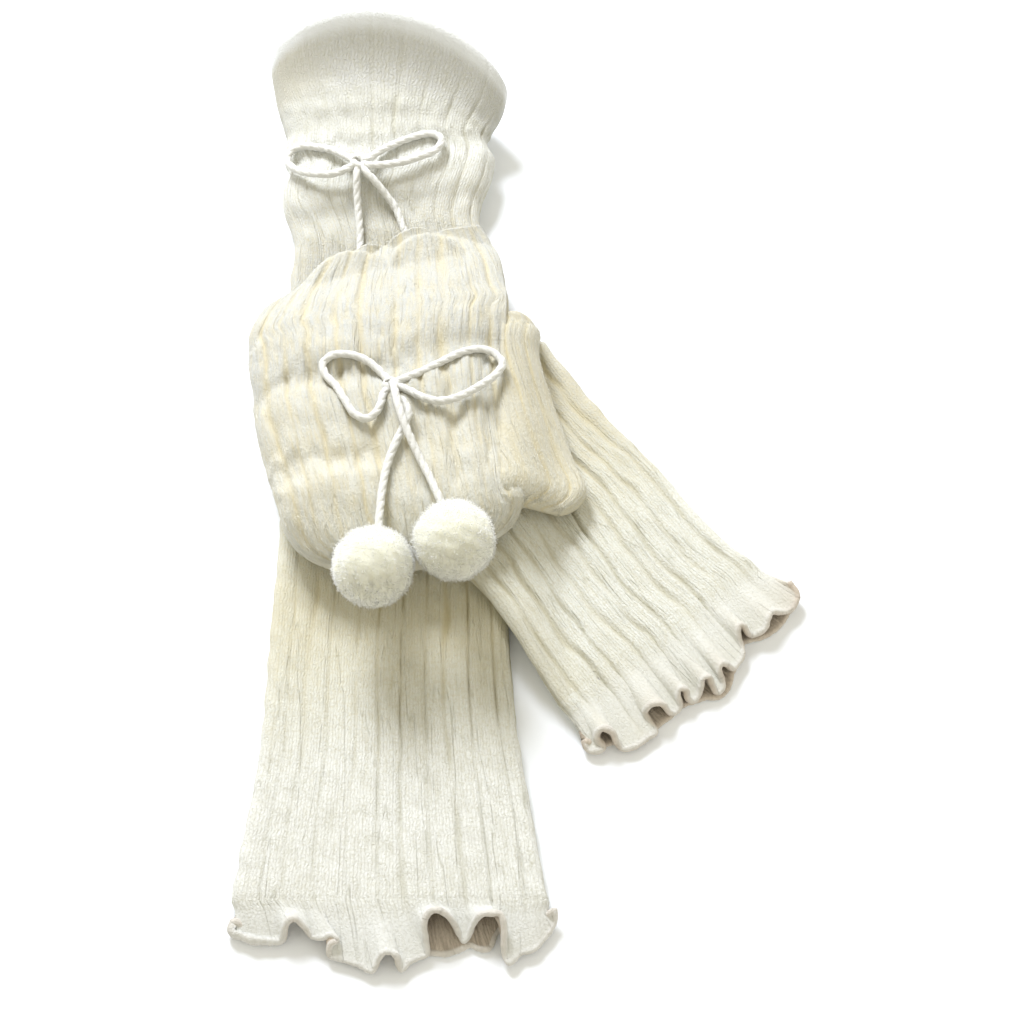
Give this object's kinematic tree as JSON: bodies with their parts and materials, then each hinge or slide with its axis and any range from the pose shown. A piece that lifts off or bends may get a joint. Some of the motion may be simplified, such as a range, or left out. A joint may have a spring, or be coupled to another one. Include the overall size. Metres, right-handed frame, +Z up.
{
  "type": "pair of leg warmers",
  "caption": "Pair of ivory rib-knit leg warmers with ruffled hems, drawstring bows and pompoms, one lying flat and one folded over it",
  "frame": {"origin": "middle of the footprint of the cloth, on the surface that the pair lies on", "axes": "+Z up, +Y from the ruffled hem to the open mouth of the leg warmer that lies straight, +X to the right seen from above its hem"},
  "size_m": [0.2854, 0.5421, 0.0816],
  "materials": {
    "rib_knit": "matt chunky rib knit, ivory",
    "lettuce_edge": "matt rolled knit edge, ivory with tan inside",
    "drawstring": "twisted yarn cord, off-white",
    "pompom_yarn": "cut yarn, fluffy, off-white"
  },
  "bodies": {
    "root": {"lower_leg": "rib_knit", "lower_cuff": "rib_knit", "upper_leg": "rib_knit", "upper_fold": "rib_knit", "upper_cuff": "rib_knit", "lower_hem": "lettuce_edge", "upper_hem": "lettuce_edge", "upper_loop_left": "drawstring", "upper_loop_right": "drawstring", "upper_tail_left": "drawstring", "upper_tail_right": "drawstring", "lower_loop_left": "drawstring", "lower_loop_right": "drawstring", "lower_tail_left": "drawstring", "lower_tail_right": "drawstring", "upper_knot": "drawstring", "lower_knot": "drawstring", "upper_pompom_left": "pompom_yarn", "upper_pompom_right": "pompom_yarn", "lower_pompom_left": "pompom_yarn", "lower_pompom_right": "pompom_yarn"}
  },
  "joints": []
}
